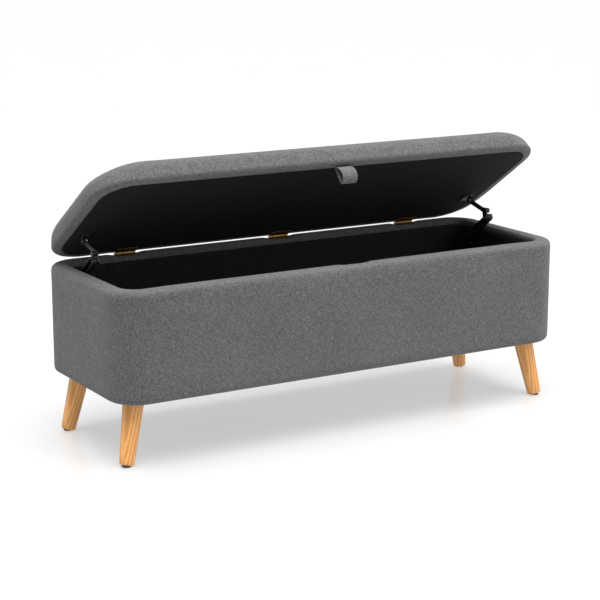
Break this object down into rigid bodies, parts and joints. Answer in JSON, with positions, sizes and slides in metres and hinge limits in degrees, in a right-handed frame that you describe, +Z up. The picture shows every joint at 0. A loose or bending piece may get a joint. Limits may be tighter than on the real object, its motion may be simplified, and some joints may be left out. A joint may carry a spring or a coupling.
{
  "type": "storage bench",
  "caption": "Grey fabric storage bench with rounded corners, a padded lid held part open by two black folding stays, a fabric pull tab and four splayed round wooden legs.",
  "frame": {"origin": "floor level, under the centre of the whole bench's bounding box with its lid standing open 33.4 degrees; the box itself is centred 8.8 mm in front of it", "axes": "+X along the bench's length, towards its right-hand end seen from the front; +Y towards the back, where the hinges are; +Z up"},
  "size_m": [1.2, 0.4425, 0.6614],
  "materials": {
    "grey_fabric": "heathered fine weave",
    "black_fabric": "matte black non-woven",
    "foam": "matte foam",
    "board": "raw plywood",
    "oak": "clear satin lacquer",
    "brass": "aged, satin",
    "black_steel": "satin black",
    "zinc": "zinc plated",
    "black_plastic": "matte"
  },
  "bodies": {
    "box": {"front_board": "board", "back_board": "board", "left_board": "board", "right_board": "board", "corner_shell_front_left": "board", "corner_shell_back_left": "board", "corner_shell_front_right": "board", "corner_shell_back_right": "board", "base_panel": "board", "box_padding": "foam", "box_cover": "grey_fabric", "box_lining": "black_fabric", "dust_cover": "black_fabric", "leg_front_left": "oak", "leg_back_left": "oak", "leg_front_right": "oak", "leg_back_right": "oak", "leg_bolt_front_left": "zinc", "leg_bolt_back_left": "zinc", "leg_bolt_front_right": "zinc", "leg_bolt_back_right": "zinc", "leg_plate_front_left": "zinc", "leg_plate_back_left": "zinc", "leg_plate_front_right": "zinc", "leg_plate_back_right": "zinc", "foot_glide_front_left": "black_plastic", "foot_glide_back_left": "black_plastic", "foot_glide_front_right": "black_plastic", "foot_glide_back_right": "black_plastic", "hinge_left_box_leaf": "brass", "hinge_left_pin": "brass", "hinge_middle_box_leaf": "brass", "hinge_middle_pin": "brass", "hinge_right_box_leaf": "brass", "hinge_right_pin": "brass", "stay_left_wall_bracket": "black_steel", "stay_left_wall_rivet": "zinc", "stay_right_wall_bracket": "black_steel", "stay_right_wall_rivet": "zinc"},
    "lid": {"lid_panel": "board", "lid_foam": "foam", "lid_cover": "grey_fabric", "lid_lining": "black_fabric", "hinge_left_lid_leaf": "brass", "hinge_middle_lid_leaf": "brass", "hinge_right_lid_leaf": "brass", "stay_left_lid_bracket": "black_steel", "stay_left_lid_rivet": "zinc", "stay_right_lid_bracket": "black_steel", "stay_right_lid_rivet": "zinc"},
    "pull_tab": {"pull_tab": "grey_fabric"},
    "stay_left_lower": {"stay_left_lower_arm": "black_steel", "stay_left_elbow_rivet": "zinc"},
    "stay_left_upper": {"stay_left_upper_arm": "black_steel"},
    "stay_right_lower": {"stay_right_lower_arm": "black_steel", "stay_right_elbow_rivet": "zinc"},
    "stay_right_upper": {"stay_right_upper_arm": "black_steel"}
  },
  "joints": [
    {"name": "lid_hinge", "type": "hinge", "parent": "box", "child": "lid", "pos_m": [0, 0.1932, 0.3987], "axis": [-1, 0, 0], "range_deg": [-33.4, 20]},
    {"name": "tab_fold", "type": "hinge", "parent": "lid", "child": "pull_tab", "pos_m": [0.0125, -0.13364, 0.61421], "axis": [-1, 0, 0], "range_deg": [-50, 83.5]},
    {"name": "stay_left_wall_pivot", "type": "hinge", "parent": "box", "child": "stay_left_lower", "pos_m": [-0.5505, 0.0925, 0.369], "axis": [-1, 0, 0], "range_deg": [-39.5, 23.7]},
    {"name": "stay_left_elbow", "type": "hinge", "parent": "stay_left_lower", "child": "stay_left_upper", "pos_m": [-0.54325, 0.0178, 0.4254], "axis": [-1, 0, 0], "range_deg": [-28.2, 47]},
    {"name": "stay_right_wall_pivot", "type": "hinge", "parent": "box", "child": "stay_right_lower", "pos_m": [0.5505, 0.0925, 0.369], "axis": [-1, 0, 0], "range_deg": [-39.5, 23.7]},
    {"name": "stay_right_elbow", "type": "hinge", "parent": "stay_right_lower", "child": "stay_right_upper", "pos_m": [0.54325, 0.0178, 0.4254], "axis": [-1, 0, 0], "range_deg": [-28.2, 47]}
  ],
  "couplings": [
    {"joint": "tab_fold", "follows": "lid_hinge", "ratio": -2.5},
    {"joint": "stay_left_wall_pivot", "follows": "lid_hinge", "ratio": 1.182},
    {"joint": "stay_left_elbow", "follows": "lid_hinge", "ratio": -1.406},
    {"joint": "stay_right_wall_pivot", "follows": "lid_hinge", "ratio": 1.182},
    {"joint": "stay_right_elbow", "follows": "lid_hinge", "ratio": -1.406}
  ]
}
